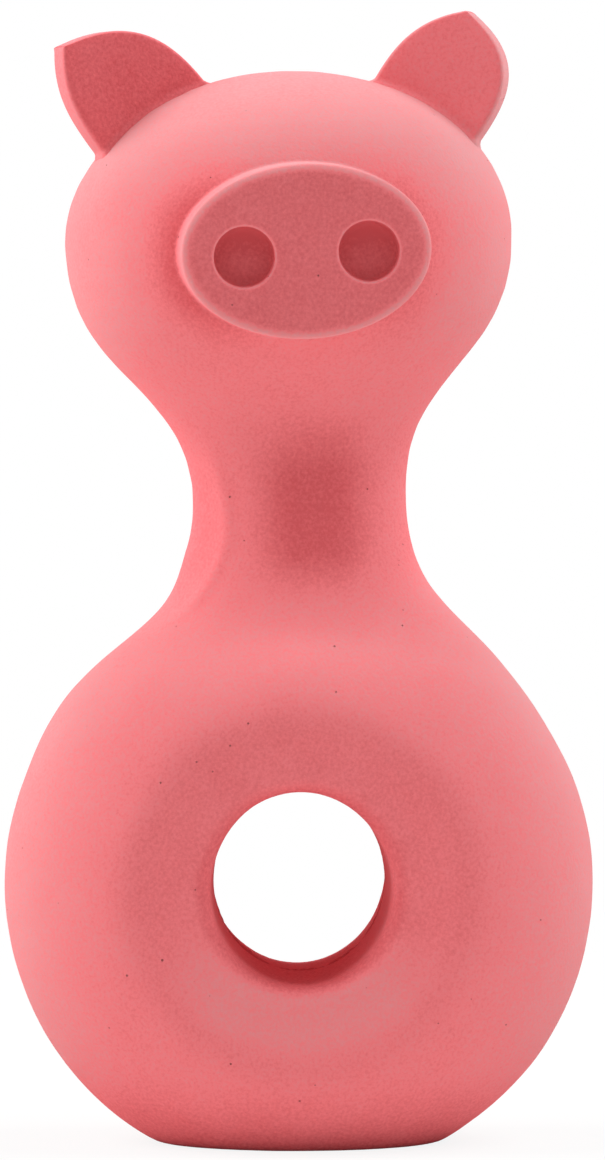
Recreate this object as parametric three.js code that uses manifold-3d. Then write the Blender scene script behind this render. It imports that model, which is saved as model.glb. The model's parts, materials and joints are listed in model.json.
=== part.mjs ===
// Latex pig dog toy: one stuffed latex skin with a ring body, a neck that bends, a head with a snout
// and two ear flaps, a fibre filling, and a reed squeaker pressed into the foot.
// Millimetres and degrees, +Z up. The face looks along -Y and the flat foot stands on z = 0.
import * as THREE from "three";
import { LoftGeometry } from "three/addons/geometries/LoftGeometry.js";
import { mergeVertices } from "three/addons/utils/BufferGeometryUtils.js";
import Module from "manifold-3d";

const wasm = await Module();
wasm.setup();

// Ring body
const ringRadius = 41.2; // outside edge
const ringDepth = 39; // front to back over the crests
const crestReach = 2.4; // how far the crests stay level, outwards
const edgeReach = 12.6; // how far the outside edge stays straight, to the front and to the back
const holeRadius = 12; // bore through the ring, at its narrowest half-way through
const boreDraft = 2; // the bore widens towards both faces
const lipRadius = 2.6; // rounding from the face into the bore
const faceWidth = 8.6; // dished face, from the lip out to the crest
const dishDepth = 0.8; // how far the face sinks towards the lip
const holeTall = 0.08; // the hole is taller than wide, by this share
const holeRise = 0.9; // hole's middle above the middle of the round outside
const centreHeight = 36.1; // middle of the round outside above the floor, so that the foot is flat

// Latex
const skin = 2.2; // wall of the moulding
const footWall = 4; // thicker wall under the foot, which holds the squeaker
const seam = 0.3; // gap between neighbouring pieces

// Neck
const shoulderAngle = 48; // where the neck leaves the ring, from straight up
const shoulderReach = 19; // how far the ring's slope carries on into the neck
const frontStart = 0.4; // where the neck leaves the ring's front, as a share of its outside curve
const frontReach = 9; // how far up the ring's slope carries on into the neck's front
const waistRise = 13.2; // narrowest place, above the ring's top
const waistReachDown = 10; // how long the waist stays narrow, downwards
const waistReachUp = 17; // and upwards
const neckWidth = 29.8;
const neckDepth = 19;
const sleeveLength = 19; // the part that bends, with the waist in its middle
const neckLean = 2.6; // set of the neck: head tipped sideways
const neckTurn = 3.6; // set of the neck: face turned

// Head
const headWidth = 62.6;
const headDepth = 50;
const headRise = 36; // widest line above the waist
const cheekReach = 19; // how long the cheeks stay wide, downwards
const crownRise = 23.3; // top above the widest line
const headAside = 0.45; // middle to the right of the neck's line

// Snout
const snoutWidth = 35.2;
const snoutHeight = 24.8;
const snoutFall = 0.9; // middle of its face below the head's widest line
const snoutProud = 4.6; // face in front of the head
const snoutDraft = 8; // slope of the side wall
const snoutRim = 1.2; // rounding of the face's edge
const snoutDroop = 1.7; // face tipped downwards
const nostrilRadius = 4.2;
const nostrilSpacing = 17.1;
const nostrilDepth = 3.2;

// Ears: the root lies round the head from its top by the spread, the tip out from the middle of the
// root's width and up from it, and each edge bulges from its chord
const earThickness = 3.7;
const earTurn = 18; // outer edge brought forward
const earLean = 8; // tip brought forward
const earRootRise = 3; // height of the web that bends
const earRounding = 0.8; // edges
const leftEar = {
  spread: 37, width: 18.6, tipOut: 6.8, tipRise: 13.9, innerBulge: 4, outerBulge: 1.7 };
const rightEar = {
  spread: 41, width: 16.8, tipOut: -1.2, tipRise: 13.7, innerBulge: 2, outerBulge: 4.4 };

// Squeaker
const plugRadius = 5.6; // neck of the plug, in the foot's hole
const plugFlangeRadius = 8;
const plugFlange = 1.3; // thickness of the flange under the foot
const plugRecess = 0.5; // flange above the floor
const plugBarbRadius = 7; // barb that snaps in behind the foot's wall
const plugBarb = 2;
const pipeRadius = 3.3;
const pipeBore = 1.2; // radius of the air passage
const pipeTop = 16.5; // above the floor
const pipeEnd = 1.2; // closed end of the trough
const reedWidth = 4.4;
const reedThickness = 0.3;
const reedGap = 0.5; // between the reed and the pipe's flat
const wedgeHeight = 3;

// Fineness
const ringSegments = 60;
const ringCurveSteps = 5;
const insideSegments = 40; // inside faces of the skin, and the filling
const insideCurveSteps = 3;
const loftSegments = 40;
const loftInsideSegments = 28;
const smallSegments = 28;

// Worked out from the sizes
const rad = THREE.MathUtils.degToRad;
const smooth = THREE.MathUtils.smoothstep;
const corner = (x, y) => new THREE.Vector2(x, y);
const boreWidening = (ringDepth / 2 - dishDepth - lipRadius) * Math.tan(rad(boreDraft));
const crestRadius = holeRadius + boreWidening + lipRadius + faceWidth;
const waistHeight = centreHeight + ringRadius + waistRise;
const equatorHeight = waistHeight + headRise;
const sleeveBottom = waistHeight - sleeveLength / 2;
const sleeveTop = waistHeight + sleeveLength / 2;
const snoutFlat = 1 - (2 * snoutRim) / snoutHeight; // share of the snout inside its rounded edge
const snoutReach = snoutProud + (snoutFlat / 2) * Math.hypot(
  snoutHeight * Math.sin(rad(snoutDroop)), snoutWidth * Math.sin(rad(neckTurn)));
const headSetBack = snoutReach / 2 - headAside * Math.tan(rad(neckTurn)); // even front to back

function solidOf(geometry) {
  const positions = new THREE.BufferGeometry();
  const flat = geometry.index ? geometry.toNonIndexed() : geometry;
  positions.setAttribute("position", flat.getAttribute("position"));
  const merged = mergeVertices(positions, 1e-4);
  const corners = [];
  for (let i = 0; i < merged.index.count; i += 3) {
    const [a, b, c] = [0, 1, 2].map((k) => merged.index.getX(i + k));
    if (a !== b && b !== c && c !== a) corners.push(a, b, c);
  }
  const build = (triVerts) =>
    new wasm.Manifold(
      new wasm.Mesh({ numProp: 3, vertProperties: merged.attributes.position.array, triVerts })
    );
  const solid = build(new Uint32Array(corners));
  return solid.volume() > 0 ? solid : build(new Uint32Array(corners).reverse());
}

function meshOf(name, solid, material) {
  const data = solid.getMesh();
  const geometry = new THREE.BufferGeometry();
  geometry.setAttribute("position", new THREE.BufferAttribute(data.vertProperties, 3));
  geometry.setIndex(new THREE.BufferAttribute(data.triVerts, 1));
  geometry.computeVertexNormals();
  const mesh = new THREE.Mesh(geometry, material);
  mesh.name = name;
  return mesh;
}

// A box between two heights, wide enough to cut any piece
function slab(low, high) {
  const wide = 4 * (ringRadius + headWidth);
  const box = new THREE.BoxGeometry(wide, wide, high - low);
  return solidOf(box.translate(0, 0, (low + high) / 2));
}

// A turned solid about the vertical axis, from points of radius and height
function turned(points, segments = smallSegments) {
  const profile = points.map(([r, z]) => corner(r, z));
  return solidOf(new THREE.LatheGeometry(profile, segments).rotateX(Math.PI / 2));
}

function rod(radius, low, high) {
  return turned([[0, low], [radius, low], [radius, high], [0, high]]);
}

// Outside of the ring from a crest to the edge, as half depth and radius
function outsideCurve(inset) {
  const half = ringDepth / 2 - inset;
  const edge = ringRadius - inset;
  const level = (crestReach * (edge - crestRadius)) / (ringRadius - crestRadius);
  const straight = (edgeReach * half) / (ringDepth / 2);
  return new THREE.CubicBezierCurve(
    corner(half, crestRadius),
    corner(half, crestRadius + level),
    corner(straight, edge),
    corner(0, edge));
}

// The ring, turned about its hole: round outside, dished faces, rounded lips and a drafted bore
function ringSolid(inset) {
  const half = ringDepth / 2 - inset;
  const bore = holeRadius + inset;
  const mouth = bore + boreWidening;
  const lip = mouth + lipRadius;
  const dished = half - dishDepth;
  const between = (crestRadius + lip) / 2;
  const { v1: level, v2: straight } = outsideCurve(inset);
  const path = new THREE.Path();
  path.moveTo(crestRadius, -half);
  path.bezierCurveTo(level.y, -half, straight.y, -straight.x, straight.y, 0);
  path.bezierCurveTo(straight.y, straight.x, level.y, half, crestRadius, half);
  path.bezierCurveTo(between, half, between, dished, lip, dished);
  path.quadraticCurveTo(mouth, dished, mouth, dished - lipRadius);
  path.lineTo(bore, 0);
  path.lineTo(mouth, lipRadius - dished);
  path.quadraticCurveTo(mouth, -dished, lip, -dished);
  path.bezierCurveTo(between, -dished, between, -half, crestRadius, -half);
  const points = mergeClose(path.getPoints(inset ? insideCurveSteps : ringCurveSteps));
  const segments = inset ? insideSegments : ringSegments;
  const geometry = new THREE.LatheGeometry([...points, points[0]], segments);
  const corners = geometry.getAttribute("position");
  for (let i = 0; i < corners.count; i++) {
    const radius = Math.hypot(corners.getX(i), corners.getZ(i));
    const towardsHole = (ringRadius - radius) / (ringRadius - holeRadius);
    const upright = corners.getZ(i) * (1 + holeTall * towardsHole);
    corners.setZ(i, upright + centreHeight + holeRise * towardsHole);
  }
  return solidOf(geometry);
}

function mergeClose(points) {
  const kept = points.filter((p, i) => i === 0 || p.distanceTo(points[i - 1]) > 1e-3);
  return kept[0].distanceTo(kept.at(-1)) < 1e-3 ? kept.slice(0, -1) : kept;
}

// Half width and half depth of the neck and head at a height: a curve from the ring to the waist,
// another from the waist to the head's widest line, then a quarter ellipse to the crown
const shoulder = rad(shoulderAngle);
const joinHeight = centreHeight + ringRadius * Math.cos(shoulder);
const outside = outsideCurve(0);
const front = outside.getPoint(frontStart);
const frontSlope = outside.getTangent(frontStart);
const join = {
  width: {
    half: ringRadius * Math.sin(shoulder), height: joinHeight,
    slope: -1 / Math.tan(shoulder), reach: shoulderReach * Math.sin(shoulder),
  },
  depth: {
    half: front.x, height: centreHeight + front.y,
    slope: frontSlope.x / frontSlope.y, reach: frontReach,
  },
};
const neckHalf = { width: neckWidth / 2, depth: neckDepth / 2 };
const headHalf = { width: headWidth / 2, depth: headDepth / 2 };

function sideCurve(size, upper) {
  const neck = neckHalf[size];
  const head = headHalf[size];
  if (upper)
    return new THREE.CubicBezierCurve(
      corner(neck, waistHeight),
      corner(neck, waistHeight + waistReachUp),
      corner(head, equatorHeight - cheekReach),
      corner(head, equatorHeight));
  const { half, height, slope, reach } = join[size];
  return new THREE.CubicBezierCurve(
    corner(half, height),
    corner(half + slope * reach, height + reach),
    corner(neck, waistHeight - waistReachDown),
    corner(neck, waistHeight));
}

// Where a curve that rises all the way passes a height
function across(curve, height) {
  let low = 0;
  let high = 1;
  for (let i = 0; i < 40; i++) {
    const middle = (low + high) / 2;
    if (curve.getPoint(middle).y < height) low = middle;
    else high = middle;
  }
  return curve.getPoint(low).x;
}

function halfAt(size, z, inset) {
  if (z > equatorHeight) {
    const share = Math.min((z - equatorHeight) / (crownRise - inset), 1);
    return (headHalf[size] - inset) * Math.sqrt(1 - share * share);
  }
  if (z < join[size].height) return across(outside, z - centreHeight) - inset; // the ring's own front
  return across(sideCurve(size, z > waistHeight), z) - inset;
}

const shareOfHead = (z) => smooth(z, joinHeight, equatorHeight);

// The set of the neck grows along the sleeve, so the head carries all of it
function withSet(point) {
  const share = smooth(point.z, sleeveBottom, sleeveTop);
  const set = new THREE.Euler(0, rad(-neckLean) * share, rad(neckTurn) * share, "YXZ");
  point.z -= waistHeight;
  point.applyEuler(set);
  point.z += waistHeight;
  return point;
}

// Head pieces are drawn about the waist, in the frame that the neck carries
function fromWaist(point) {
  point.z -= waistHeight;
  return point;
}

function softSolid(heights, inset, place) {
  const segments = inset > 0 ? loftInsideSegments : loftSegments;
  const sections = heights.map((z) => {
    const aside = headAside * shareOfHead(z);
    const back = headSetBack * shareOfHead(z);
    const width = halfAt("width", z, inset);
    const depth = halfAt("depth", z, inset);
    return Array.from({ length: segments }, (_, i) => {
      const angle = (2 * Math.PI * i) / segments;
      return place(
        new THREE.Vector3(aside + width * Math.cos(angle), back + depth * Math.sin(angle), z));
    });
  });
  return solidOf(new LoftGeometry(sections, { capStart: true, capEnd: true }));
}

function steps(low, high, count) {
  return Array.from({ length: count + 1 }, (_, i) => low + ((high - low) * i) / count);
}

// Ring with the neck's flare, up to a height
function ringWithFlare(inset, top) {
  return ringSolid(inset).add(softSolid(steps(joinHeight, top, 8), inset, (p) => p));
}

function neckSolid(inset, low, high) {
  return softSolid(steps(low, high, 10), inset, withSet);
}

function headSolid(inset, low) {
  const crown = steps(0, 88, 11).map(
    (a) => equatorHeight + (crownRise - inset) * Math.sin(rad(a)));
  return softSolid([...steps(low, equatorHeight, 11), ...crown.slice(1)], inset, fromWaist);
}

// Skin
const footHole = rod(plugRadius + seam, -1, footWall + 1);
const flangeSeat = rod(plugFlangeRadius + seam, -1, plugRecess + plugFlange + seam);
const aboveFloor = slab(0, 2 * equatorHeight);
const aboveFoot = slab(footWall, 2 * equatorHeight);
const ringBody = ringWithFlare(0, sleeveBottom)
  .intersect(aboveFloor)
  .subtract(ringWithFlare(skin, sleeveBottom + seam).intersect(aboveFoot))
  .subtract(footHole)
  .subtract(flangeSeat);
const neckSleeve = neckSolid(0, sleeveBottom + seam, sleeveTop - seam)
  .subtract(neckSolid(skin, sleeveBottom, sleeveTop));
const headShell = headSolid(0, sleeveTop).subtract(headSolid(skin, sleeveTop - seam));
const headClear = headSolid(-seam, sleeveTop);

// Filling
const fillInset = skin + seam;
const pocket = rod(plugBarbRadius + 1, 0, pipeTop + 1);
const ringFilling = ringWithFlare(fillInset, sleeveBottom)
  .intersect(slab(footWall + seam, 2 * equatorHeight))
  .subtract(pocket);
const neckFilling = neckSolid(fillInset, sleeveBottom + seam, sleeveTop - seam);
const headFilling = headSolid(fillInset, sleeveTop);

// Snout: a turned boss, widened to an oval, that follows the head behind
function snoutSolid() {
  const radius = snoutHeight / 2;
  const length = snoutProud + headDepth / 4;
  const rim = steps(0, 90 - snoutDraft, 4).map((a) => [
    radius - snoutRim + snoutRim * Math.sin(rad(a)), snoutRim - snoutRim * Math.cos(rad(a))]);
  const base = radius + length * Math.tan(rad(snoutDraft));
  const profile = [[0, 0], ...rim, [base, length], [0, length]].map(
    ([r, y]) => corner(r, y));
  const boss = new THREE.LatheGeometry(profile, loftSegments).scale(snoutWidth / snoutHeight, 1, 1);
  let solid = solidOf(boss);
  for (const side of [-1, 1]) {
    const nostril = new THREE.CylinderGeometry(
      nostrilRadius, nostrilRadius, 2 * nostrilDepth, smallSegments);
    solid = solid.subtract(solidOf(nostril.translate((side * nostrilSpacing) / 2, 0, 0)));
  }
  const data = meshOf("", solid).geometry;
  data.rotateX(rad(snoutDroop));
  data.translate(headAside, headSetBack - headDepth / 2 - snoutProud, headRise - snoutFall);
  return solidOf(data).subtract(headClear);
}

// Ear: a leaf of even thickness; local x runs outwards along the root, y up the ear, z through it
function earSolid({ width, tipOut, tipRise, innerBulge, outerBulge }) {
  const half = width / 2 - earRounding;
  const tip = corner(tipOut, tipRise - earRounding);
  const sunk = -crownRise / 3;
  const bend = (root, bulge) => {
    const chord = tip.clone().sub(root);
    const aside = corner(-chord.y, chord.x).normalize();
    return tip.clone().add(root).multiplyScalar(0.5).addScaledVector(aside, 2 * bulge);
  };
  const inner = bend(corner(-half, 0), innerBulge);
  const outer = bend(corner(half, 0), -outerBulge);
  const leaf = new THREE.Shape();
  leaf.moveTo(-half, sunk);
  leaf.lineTo(half, sunk);
  leaf.lineTo(half, 0);
  leaf.quadraticCurveTo(outer.x, outer.y, tip.x, tip.y);
  leaf.quadraticCurveTo(inner.x, inner.y, -half, 0);
  const plate = new THREE.ExtrudeGeometry(leaf, {
    depth: earThickness - 2 * earRounding, curveSegments: 10, bevelEnabled: true,
    bevelThickness: earRounding, bevelSize: earRounding, bevelSegments: 2,
  });
  return solidOf(plate.translate(0, 0, earRounding - earThickness / 2));
}

// Frame at an ear's root, on the head's side line
function earFrame(side, spread) {
  const angle = rad(spread);
  const out = new THREE.Vector3(
    side * headHalf.width * Math.cos(angle), 0, -crownRise * Math.sin(angle)).normalize();
  const up = new THREE.Vector3(-side * out.z, 0, side * out.x);
  const frame = new THREE.Group();
  frame.setRotationFromMatrix(
    new THREE.Matrix4().makeBasis(out, up, new THREE.Vector3().crossVectors(out, up)));
  frame.rotateY(rad(-side * earTurn));
  frame.rotateX(rad(side * earLean));
  frame.position.set(
    headAside + side * headHalf.width * Math.sin(angle), headSetBack,
    headRise + crownRise * Math.cos(angle));
  return frame;
}

// A box between two heights up the ear
function earBand(low, high) {
  const wide = 2 * headWidth;
  return solidOf(
    new THREE.BoxGeometry(wide, high - low, wide).translate(0, (low + high) / 2, 0));
}

// Squeaker: a soft plug, a hard pipe with a flat and a trough, a reed over the trough and its wedge
const plugBottom = plugRecess;
const barbBottom = footWall + seam;
const squeakerPlug = turned([
  [pipeRadius + seam, plugBottom],
  [plugFlangeRadius, plugBottom],
  [plugFlangeRadius, plugBottom + plugFlange],
  [plugRadius, plugBottom + plugFlange],
  [plugRadius, barbBottom],
  [plugBarbRadius, barbBottom],
  [plugRadius, barbBottom + plugBarb],
  [pipeRadius + seam, barbBottom + plugBarb],
  [pipeRadius + seam, plugBottom],
]);
const ledge = barbBottom + plugBarb + seam;
const hingeHeight = ledge + seam + wedgeHeight;

function block(width, yLow, yHigh, zLow, zHigh) {
  const box = new THREE.BoxGeometry(width, yHigh - yLow, zHigh - zLow);
  return solidOf(box.translate(0, (yLow + yHigh) / 2, (zLow + zHigh) / 2));
}

const reedPipe = rod(pipeRadius, plugBottom + seam, pipeTop)
  .subtract(block(4 * pipeRadius, -2 * pipeRadius, 0, ledge, pipeTop + 1))
  .subtract(rod(pipeBore, 0, pipeTop - pipeEnd));
const reedFront = -reedGap - reedThickness;
const wedgeFace = reedFront - seam;
const reedWedge = rod(pipeRadius, ledge + seam, hingeHeight)
  .intersect(block(4 * pipeRadius, -2 * pipeRadius, wedgeFace, 0, pipeTop));
const reedSolid = block(
  reedWidth, -reedThickness / 2, reedThickness / 2, -wedgeHeight, pipeTop - seam - hingeHeight);

// Materials
const latex = new THREE.MeshStandardMaterial({ name: "latex", color: 0xe98486, roughness: 0.75 });
const fibre = new THREE.MeshStandardMaterial({ name: "fibre", color: 0xf2efe8, roughness: 0.95 });
const softPlastic = new THREE.MeshStandardMaterial({
  name: "soft_plastic", color: 0xe9e6dc, roughness: 0.5 });
const hardPlastic = new THREE.MeshStandardMaterial({
  name: "hard_plastic", color: 0xd8d4c8, roughness: 0.4 });
const film = new THREE.MeshStandardMaterial({ name: "film", color: 0xd9b45a, roughness: 0.4 });

// Assembly: groups stand at the joints, and a joint turns about its group's own x axis
const toy = new THREE.Group();
toy.add(meshOf("ring_body", ringBody, latex));
toy.add(meshOf("neck_sleeve", neckSleeve, latex));
toy.add(meshOf("ring_filling", ringFilling, fibre));
toy.add(meshOf("neck_filling", neckFilling, fibre));
toy.add(meshOf("squeaker_plug", squeakerPlug, softPlastic));
toy.add(meshOf("reed_pipe", reedPipe, hardPlastic));
toy.add(meshOf("reed_wedge", reedWedge, hardPlastic));

const reedFlutter = new THREE.Group();
reedFlutter.name = "reed_flutter";
reedFlutter.position.set(0, reedFront + reedThickness / 2, hingeHeight);
reedFlutter.add(meshOf("squeaker_reed", reedSolid, film));
toy.add(reedFlutter);

const neckBend = new THREE.Group();
neckBend.name = "neck_bend";
neckBend.position.set(0, 0, waistHeight);
neckBend.rotation.set(0, rad(-neckLean), rad(neckTurn), "YXZ");
neckBend.add(meshOf("head_shell", headShell, latex));
neckBend.add(meshOf("head_filling", headFilling, fibre));
neckBend.add(meshOf("snout_boss", snoutSolid(), latex));
toy.add(neckBend);

function addEar(name, side, ear) {
  const whole = earSolid(ear);
  const frame = earFrame(side, ear.spread);
  frame.updateMatrix();
  const stub = whole.intersect(earBand(-crownRise, earRootRise - seam));
  const root = meshOf("", stub).geometry.applyMatrix4(frame.matrix);
  neckBend.add(meshOf(name + "_root", solidOf(root).subtract(headClear), latex));

  const flap = whole.intersect(earBand(earRootRise, 2 * ear.tipRise));
  const flex = frame;
  flex.name = name + "_flex";
  const hinge = earRootRise / 2;
  flex.translateY(hinge);
  const leaf = meshOf("", flap).geometry.translate(0, -hinge, 0);
  flex.add(meshOf(name, solidOf(leaf), latex));
  neckBend.add(flex);
}

addEar("ear_left", -1, leftEar);
addEar("ear_right", 1, rightEar);

export default toy;
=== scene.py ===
"""Latex pig dog toy: one stuffed latex moulding with a squeaker in its foot, and a plain studio."""
import json
import math

import bmesh
import bpy
from bpy.props import FloatProperty, FloatVectorProperty, PointerProperty
from mathutils import Matrix, Vector, geometry, noise
from mathutils.bvhtree import BVHTree
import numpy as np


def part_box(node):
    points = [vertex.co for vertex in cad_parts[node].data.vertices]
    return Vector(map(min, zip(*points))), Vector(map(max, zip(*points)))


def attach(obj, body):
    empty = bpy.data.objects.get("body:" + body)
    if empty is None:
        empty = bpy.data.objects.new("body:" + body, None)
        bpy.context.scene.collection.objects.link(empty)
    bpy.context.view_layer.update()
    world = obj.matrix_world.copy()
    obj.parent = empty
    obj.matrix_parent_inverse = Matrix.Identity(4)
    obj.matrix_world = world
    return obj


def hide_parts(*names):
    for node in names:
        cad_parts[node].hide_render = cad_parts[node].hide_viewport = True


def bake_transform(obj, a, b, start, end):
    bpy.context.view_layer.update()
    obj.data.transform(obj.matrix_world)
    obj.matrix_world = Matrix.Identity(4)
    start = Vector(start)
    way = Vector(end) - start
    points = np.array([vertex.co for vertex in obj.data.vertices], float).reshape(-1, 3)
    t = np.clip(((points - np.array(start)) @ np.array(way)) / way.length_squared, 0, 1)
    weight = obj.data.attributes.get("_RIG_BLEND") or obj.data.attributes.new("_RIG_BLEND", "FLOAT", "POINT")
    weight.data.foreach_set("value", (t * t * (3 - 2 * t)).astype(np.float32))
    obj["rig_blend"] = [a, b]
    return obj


bl_info = {
    "name": "Latex Pig Toy",
    "version": (1, 0, 0),
    "blender": (4, 5, 0),
    "location": "View3D > Sidebar > Pig Toy",
    "description": "Makes the latex skin, snout, ears, filling and squeaker of a pig dog toy",
    "category": "Mesh",
}

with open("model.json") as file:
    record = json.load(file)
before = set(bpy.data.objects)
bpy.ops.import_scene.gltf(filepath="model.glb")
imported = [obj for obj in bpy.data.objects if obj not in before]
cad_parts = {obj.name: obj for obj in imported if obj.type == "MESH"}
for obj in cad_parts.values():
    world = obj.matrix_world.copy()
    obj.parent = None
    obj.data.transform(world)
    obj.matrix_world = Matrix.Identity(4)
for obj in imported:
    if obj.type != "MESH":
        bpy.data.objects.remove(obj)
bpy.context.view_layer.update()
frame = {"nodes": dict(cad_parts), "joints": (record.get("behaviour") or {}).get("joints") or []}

MM = 0.001
JOINTS = {joint["name"]: joint for joint in frame["joints"]}
RING_LOW, RING_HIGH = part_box("ring_body")
SLEEVE_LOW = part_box("neck_sleeve")[0]
SIDES = {"left": -1, "right": 1}

# Fineness of the meshes
SKIN_VOXEL = 0.93 * MM
FILLING_VOXEL = 2 * MM
SKIN_PASSES = 12
ROUND_STEPS = 96
NECK_STEPS = 72
NOSTRIL_STEPS = 64
EAR_STEPS = 40
FLASH_STEPS = 360


def linear(code):
    """An sRGB hex colour as linear red, green and blue, with full alpha."""
    shares = [int(code[i:i + 2], 16) / 255 for i in (1, 3, 5)]
    return [s / 12.92 if s <= 0.04045 else ((s + 0.055) / 1.055) ** 2.4 for s in shares] + [1.0]


def number(name, description, value, **kind):
    return FloatProperty(name=name, description=description, default=value, **kind)


def length(name, description, millimetres):
    return number(name, description, millimetres * MM, unit="LENGTH")


def angle(name, description, degrees):
    return number(name, description, math.radians(degrees), subtype="ANGLE")


def pair(name, description, left, right, unit):
    """A size of the left ear and of the right ear."""
    return FloatVectorProperty(
        name=name, description=description, size=2, default=(left * unit, right * unit))


def colour(name, description, code):
    return FloatVectorProperty(
        name=name, description=description, size=4, default=linear(code), min=0, max=1, subtype="COLOR")


class RingSizes(bpy.types.PropertyGroup):
    """Ring body of the toy."""
    radius: length("Radius", "Outside edge", (RING_HIGH.x - RING_LOW.x) / 2 / MM)
    depth: length("Depth", "Front to back over the crests", (RING_HIGH.y - RING_LOW.y) / MM)
    centre: length("Centre height", "Middle of the round outside above the floor", 36.1)
    hole: length("Hole radius", "Bore at its narrowest, half-way through", 12)
    draft: angle("Bore draft", "The bore widens towards both faces", 2)
    lip: length("Lip", "Rounding from the face into the bore", 2.6)
    face: length("Face width", "Dished face, from the lip to the crest", 8.6)
    dish: length("Dish", "How far the face sinks towards the lip", 0.8)
    crest_reach: length("Crest reach", "How far the crests stay level, outwards", 2.4)
    edge_reach: length("Edge reach", "How far the outside edge stays straight, to front and back", 12.6)
    tall: number("Tall hole", "Hole taller than wide, by this share", 0.08)
    rise: length("Hole rise", "Middle of the hole above the middle of the outside", 0.9)
    flash: length("Flash", "Height of the parting line's ridge in the bore", 0.5)


class NeckSizes(bpy.types.PropertyGroup):
    """Neck between the ring and the head."""
    waist: length("Waist height", "Narrowest place above the floor", JOINTS["neck_bend"]["pos_m"][2] / MM)
    bottom: length("Bend starts", "Foot of the part that bends", SLEEVE_LOW.z / MM - 0.3)
    top: length("Bend ends", "Head of the part that bends", 100)
    width: length("Width", "Across the waist", 29.8)
    depth: length("Depth", "Front to back at the waist", 19)
    shoulder: angle("Shoulder", "Where the neck leaves the ring, from straight up", 48)
    reach: length("Shoulder reach", "How far the ring's slope carries on into the neck", 19)
    front_start: number(
        "Front start", "Where the neck leaves the ring's front, along its outside curve", 0.4,
        min=0.1, max=0.9)
    front_reach: length("Front reach", "How far up the ring's slope carries on into the neck's front", 9)
    reach_down: length("Waist reach down", "How long the waist stays narrow, downwards", 10)
    reach_up: length("Waist reach up", "How long the waist stays narrow, upwards", 17)
    lean: angle("Lean", "Set of the neck, head tipped sideways", 2.6)
    turn: angle("Turn", "Set of the neck, face turned", 3.6)
    slump: length("Shoulder slump", "Shoulders sunk unevenly", 1)
    ridge: length("Ridge", "Height of the mould's ridge left of the neck's front", 0.25)


class HeadSizes(bpy.types.PropertyGroup):
    """Head with its snout."""
    width: length("Width", "Across the cheeks", 62.6)
    depth: length("Depth", "Front to back", 50)
    rise: length("Rise", "Widest line above the waist", 36)
    cheek: length("Cheek reach", "How long the cheeks stay wide, downwards", 19)
    crown: length("Crown", "Top above the widest line", 23.3)
    set_back: length("Set back", "Middle of the head behind the neck's line", 2.8)
    aside: length("Aside", "Middle of the head to the right of the neck's line", 0.45)
    snout_width: length("Snout width", "Across the snout's face", 34.3)
    snout_height: length("Snout height", "Up the snout's face", 23.9)
    snout_fall: length("Snout fall", "Middle of the snout below the widest line", 1.1)
    snout_proud: length("Snout proud", "Snout's face in front of the head", 4.6)
    snout_rim: length("Snout rim", "How far in the face's edge is rounded", 1.8)
    snout_crown: length("Snout crown", "How far back the face's edge is rounded", 0.7)
    snout_draft: angle("Snout draft", "Slope of the snout's wall", 1)
    snout_fillet: length("Snout fillet", "Rounding from the snout's wall to the head", 0.4)
    nostril: length("Nostril radius", "Wall of a nostril", 4.15)
    nostril_spacing: length("Nostril spacing", "Between the middles of the nostrils", 17.1)
    nostril_drop: length("Nostril drop", "Nostrils below the middle of the snout", 0.4)
    nostril_depth: length("Nostril depth", "Face to the nostril's floor", 3.2)
    nostril_edge: length("Nostril edge", "Rounding of the nostril's mouth", 0.6)


class EarSizes(bpy.types.PropertyGroup):
    """Ear flaps, left and then right."""
    thickness: length("Thickness", "Through the flap", 3.7)
    rounding: length("Rounding", "Edges of the flap", 0.6)
    tip: length("Tip", "Width of the blunt tip", 0.7)
    fillet: length("Fillet", "Rounding from the flap to the head", 0.8)
    sunk: length("Sunk", "Root below the head's surface", 1.2)
    web: length("Web", "Height of the part that bends", 3)
    turn: angle("Turn", "Outer edge brought forward", 18)
    lean: angle("Lean", "Tip brought forward", 8)
    spread: pair("Spread", "Root round the head from its top", 37, 41, math.radians(1))
    width: pair("Width", "Across the root", 18.6, 16.8, MM)
    tip_out: pair("Tip out", "Tip outwards from the middle of the root", 6.8, -1.2, MM)
    tip_rise: pair("Tip rise", "Tip above the root", 14.3, 14.1, MM)
    inner_bulge: pair("Inner bulge", "Inner edge from its chord", 4, 2, MM)
    outer_bulge: pair("Outer bulge", "Outer edge from its chord", 1.7, 4.4, MM)


class LatexSizes(bpy.types.PropertyGroup):
    """Wall, filling and finish of the moulding."""
    wall: length("Wall", "Thickness of the skin", 2.2)
    foot: length("Foot wall", "Thicker wall under the foot", 4)
    foot_edge: length("Foot edge", "Softness of the foot's edge", 0.4)
    uneven: length("Uneven", "Waviness of the hand-dipped surface", 0.13)
    gap: length("Filling gap", "Between the skin and the filling", 0.5)
    # The clean colour stands also for painted shade, the chalky colour also for painted light on tops, sides
    # and edges
    clean_and_shaded: colour("Clean latex", "Latex with no powder on it, as in hollows", "#dc6166")
    skin: colour("Latex", "Latex under a thin bloom of powder", "#f78186")
    chalky_and_lit: colour("Powdered latex", "Chalky latex on top and along edges", "#e5989b")
    speck: colour("Specks", "Dirt in the pits", "#a85a58")
    fibre: colour("Fibre", "Polyester wadding", "#f1eee6")
    plug: colour("Plug", "Soft plug of the squeaker", "#e9e6dc")
    pipe: colour("Pipe", "Hard pipe of the squeaker", "#d8d4c8")
    reed: colour("Reed", "Film of the reed", "#d9b45a")


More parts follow.
